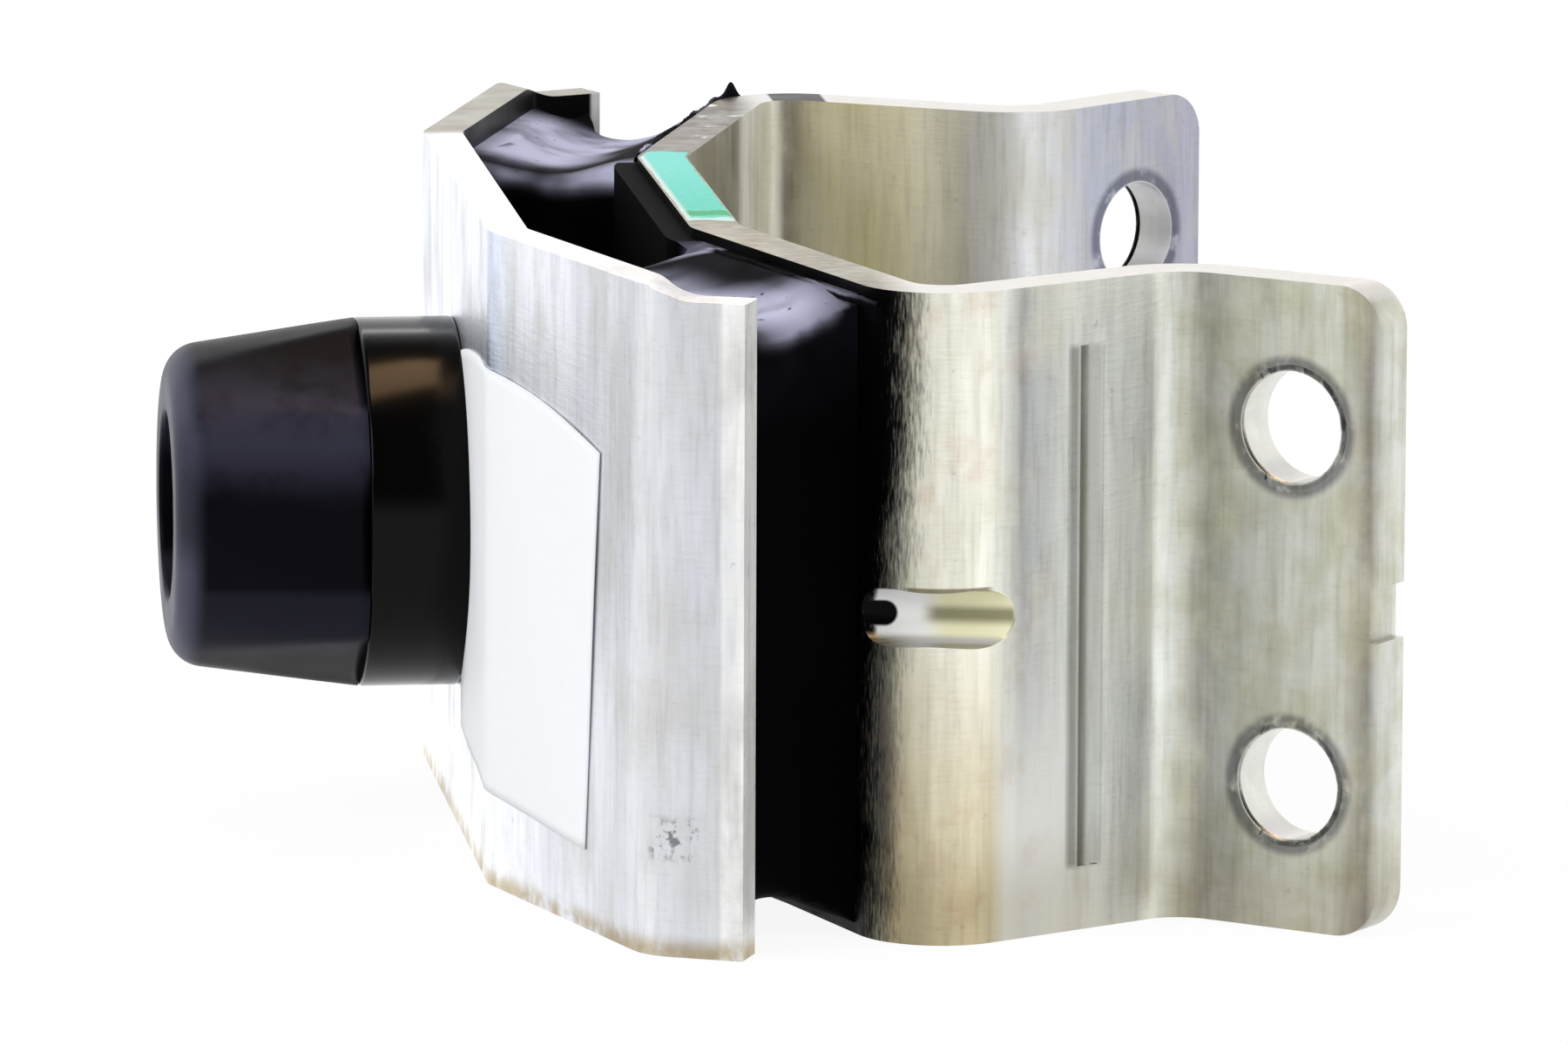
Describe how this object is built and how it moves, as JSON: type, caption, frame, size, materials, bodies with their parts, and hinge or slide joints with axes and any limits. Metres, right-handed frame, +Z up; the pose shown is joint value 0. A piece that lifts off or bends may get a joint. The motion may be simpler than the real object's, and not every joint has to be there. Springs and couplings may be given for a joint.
{
  "type": "transmission mount",
  "caption": "Bonded rubber mount: two folded steel brackets joined by a rubber spring, with a locating spigot and cone in front and bolting ears behind.",
  "frame": {"origin": "where the spigot's axis meets the outer face of the outer bracket's web", "axes": "+X along the spigot's axis towards the bolting ears, +Y across the mount, +Z up along the folds of the brackets"},
  "size_m": [0.1144, 0.1456, 0.065],
  "materials": {
    "blue_zinc": "satin bluish zinc plate on rolled sheet",
    "yellow_zinc": "satin zinc plate with a yellowish tint, streaked along the height",
    "spring_rubber": "satin moulded natural rubber",
    "black_enamel": "gloss black coating on turned steel",
    "cone_rubber": "satin moulded hard rubber"
  },
  "bodies": {
    "root": {"outer_bracket": "blue_zinc", "inner_bracket": "yellow_zinc", "rubber_spring": "spring_rubber", "locating_spigot": "black_enamel", "nose_cone": "cone_rubber"}
  },
  "joints": []
}
